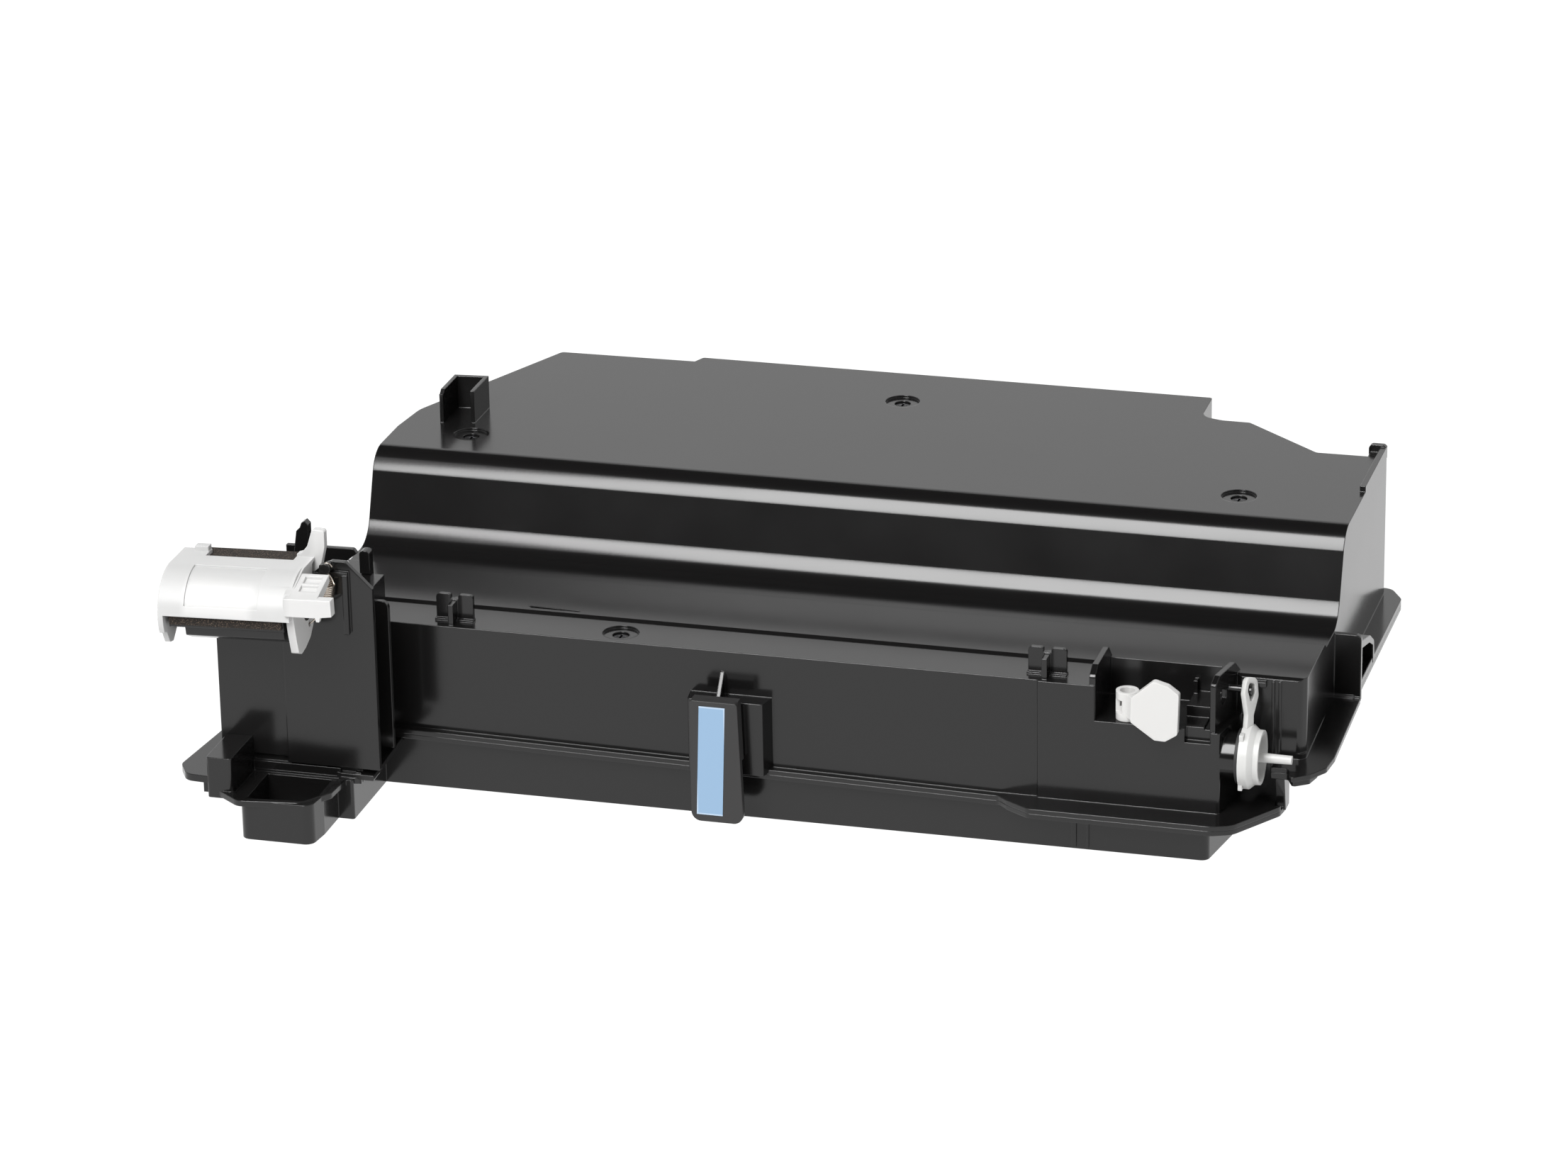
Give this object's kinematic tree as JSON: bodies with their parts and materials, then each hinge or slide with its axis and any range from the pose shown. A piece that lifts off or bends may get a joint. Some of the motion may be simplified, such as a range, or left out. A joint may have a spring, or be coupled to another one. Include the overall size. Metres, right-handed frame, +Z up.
{
  "type": "toner collection unit",
  "caption": "Black waste toner tank of two halves with a sprung white shutter on its inlet tower, a pull handle, a level flag and a tethered sealing cap.",
  "frame": {"origin": "on the floor plane, in the plane of the tank's front wall, in line with the middle of the pull handle", "axes": "+X to the right seen from the handle side, +Y from the handle towards the back of the tank (the way it slides in), +Z up"},
  "size_m": [0.3411, 0.2363, 0.0908],
  "materials": {
    "tank_plastic": "glossy moulded black",
    "handle_plastic": "matte black",
    "label_film": "satin film",
    "foam": "open-cell foam",
    "felt": "felt",
    "seal_rubber": "matte",
    "white_plastic": "satin natural white",
    "cap_plastic": "soft translucent",
    "spring_steel": "drawn wire",
    "screw_steel": "black zinc"
  },
  "bodies": {
    "tank": {"upper_cover": "tank_plastic", "lower_tray": "tank_plastic", "inlet_tower": "tank_plastic", "nose_seal": "foam", "shutter_spring": "spring_steel", "pull_handle": "handle_plastic", "handle_label": "label_film", "flag_seal": "felt", "sealing_cap": "cap_plastic", "cap_seal": "seal_rubber", "cover_screw_1": "screw_steel", "cover_screw_2": "screw_steel", "cover_screw_3": "screw_steel", "cover_screw_4": "screw_steel"},
    "shutter": {"shutter": "white_plastic"},
    "flag": {"level_flag": "white_plastic", "level_paddle": "tank_plastic"}
  },
  "joints": [
    {"name": "shutter_hinge", "type": "hinge", "parent": "tank", "child": "shutter", "pos_m": [-0.1392, -0.0354, 0.06789], "axis": [0.9994, 0, 0.0349], "range_deg": [0, 45], "stiffness_Nm_per_rad": 0.01, "springref_deg": -28.65, "deforming": ["shutter_spring"]},
    {"name": "flag_hinge", "type": "hinge", "parent": "tank", "child": "flag", "pos_m": [0.1216, 0.0034, 0.045], "axis": [0, 0, 1], "range_deg": [-30, 0]}
  ]
}
